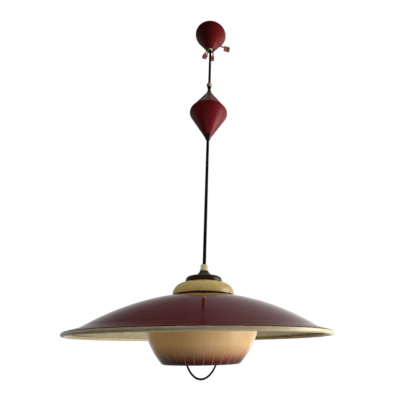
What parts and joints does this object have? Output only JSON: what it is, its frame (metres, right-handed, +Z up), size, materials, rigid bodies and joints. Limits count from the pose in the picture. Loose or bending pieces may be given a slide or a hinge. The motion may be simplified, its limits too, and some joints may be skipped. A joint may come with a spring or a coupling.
{
  "type": "rise and fall pendant lamp",
  "caption": "Pull-down pendant lamp: shallow enamelled shade with glass bowl and wire pull, on a cord with a double-cone spring reel and a conical ceiling cup",
  "frame": {"origin": "centre of the steel eye that hangs on the ceiling hook, inside the ceiling cup", "axes": "+Z up along the cord, +Y away from the viewer, +X to the viewer's right; the flat of the eye faces along Y"},
  "size_m": [0.4499, 0.45, 0.9444],
  "materials": {
    "burgundy_paint": "satin enamel",
    "cream_paint": "satin enamel",
    "cream_plastic": "moulded, satin",
    "black_plastic": "moulded, satin",
    "drum_plastic": "moulded",
    "clamp_plastic": "moulded",
    "clear_plastic": "clear, glossy",
    "orange_plastic": "glossy",
    "cord_sheath": "matt sheath over copper cores",
    "lead_blue": "insulated core",
    "lead_grey": "insulated core",
    "lead_green": "insulated core",
    "zinc_steel": "zinc plated",
    "spring_steel": "blued",
    "contact_brass": "bare",
    "opal_glass": "opal, fine meridian lines, red brown edge",
    "black_wire": "black, satin"
  },
  "bodies": {
    "suspension": {"hanger_eye": "zinc_steel", "cord_clamp_front": "clamp_plastic", "cord_clamp_back": "clamp_plastic", "clamp_screws": "zinc_steel", "upper_cord": "cord_sheath", "lead_blue": "lead_blue", "lead_grey_left": "lead_grey", "lead_grey_middle": "lead_grey", "lead_green": "lead_green", "connector_left": "clear_plastic", "connector_middle": "clear_plastic", "connector_right": "clear_plastic", "connector_levers": "orange_plastic", "reel_bead": "cream_plastic", "reel_nipple": "black_plastic", "reel_upper_shell": "burgundy_paint", "reel_lower_shell": "burgundy_paint", "reel_nozzle": "black_plastic", "nozzle_nut": "black_plastic", "reel_tube": "zinc_steel", "shell_bush": "black_plastic", "frame_plate_front": "zinc_steel", "frame_plate_back": "zinc_steel", "frame_pillars": "zinc_steel", "reel_yoke": "zinc_steel", "reel_axle": "zinc_steel", "axle_nuts": "zinc_steel", "mainspring": "spring_steel", "brush_block": "black_plastic", "brushes": "contact_brass", "reel_cord": "cord_sheath", "lower_cord": "cord_sheath", "yoke_screws": "zinc_steel"},
    "ceiling_cup": {"ceiling_cup": "burgundy_paint", "cup_insert": "black_plastic", "cup_grip": "cream_plastic", "grip_screw": "zinc_steel"},
    "reel_drum": {"cord_drum": "drum_plastic", "cord_winding": "cord_sheath", "spring_barrel": "zinc_steel", "contact_disc": "drum_plastic", "slip_rings": "contact_brass"},
    "lamp_head": {"cord_gland": "cream_plastic", "gland_collet": "drum_plastic", "top_cap": "black_plastic", "cover_dome": "cream_paint", "spacer_tube": "zinc_steel", "shade": "burgundy_paint", "head_tube": "zinc_steel", "tube_nuts": "zinc_steel", "gallery": "zinc_steel", "gallery_screws": "zinc_steel", "diffuser_bowl": "opal_glass", "lampholder_cap": "black_plastic", "lampholder_body": "black_plastic", "lampholder_shell": "contact_brass", "head_cord": "cord_sheath", "pull_handle": "black_wire", "pull_nuts": "zinc_steel", "lampholder_contact": "contact_brass"}
  },
  "joints": [
    {"name": "cup_slide", "type": "slide", "parent": "suspension", "child": "ceiling_cup", "axis": [0, 0, -1], "range_m": [0, 0.1]},
    {"name": "head_slide", "type": "slide", "parent": "suspension", "child": "lamp_head", "axis": [0, 0, 1], "range_m": [-0.6, 0.28], "deforming": ["lower_cord"]},
    {"name": "drum_turn", "type": "hinge", "parent": "suspension", "child": "reel_drum", "pos_m": [0.0125, 0, -0.3128], "axis": [0, 1, 0], "range_deg": [-1390, 655]}
  ],
  "couplings": [
    {"joint": "drum_turn", "follows": "head_slide", "rad_per_m": 40.2}
  ]
}
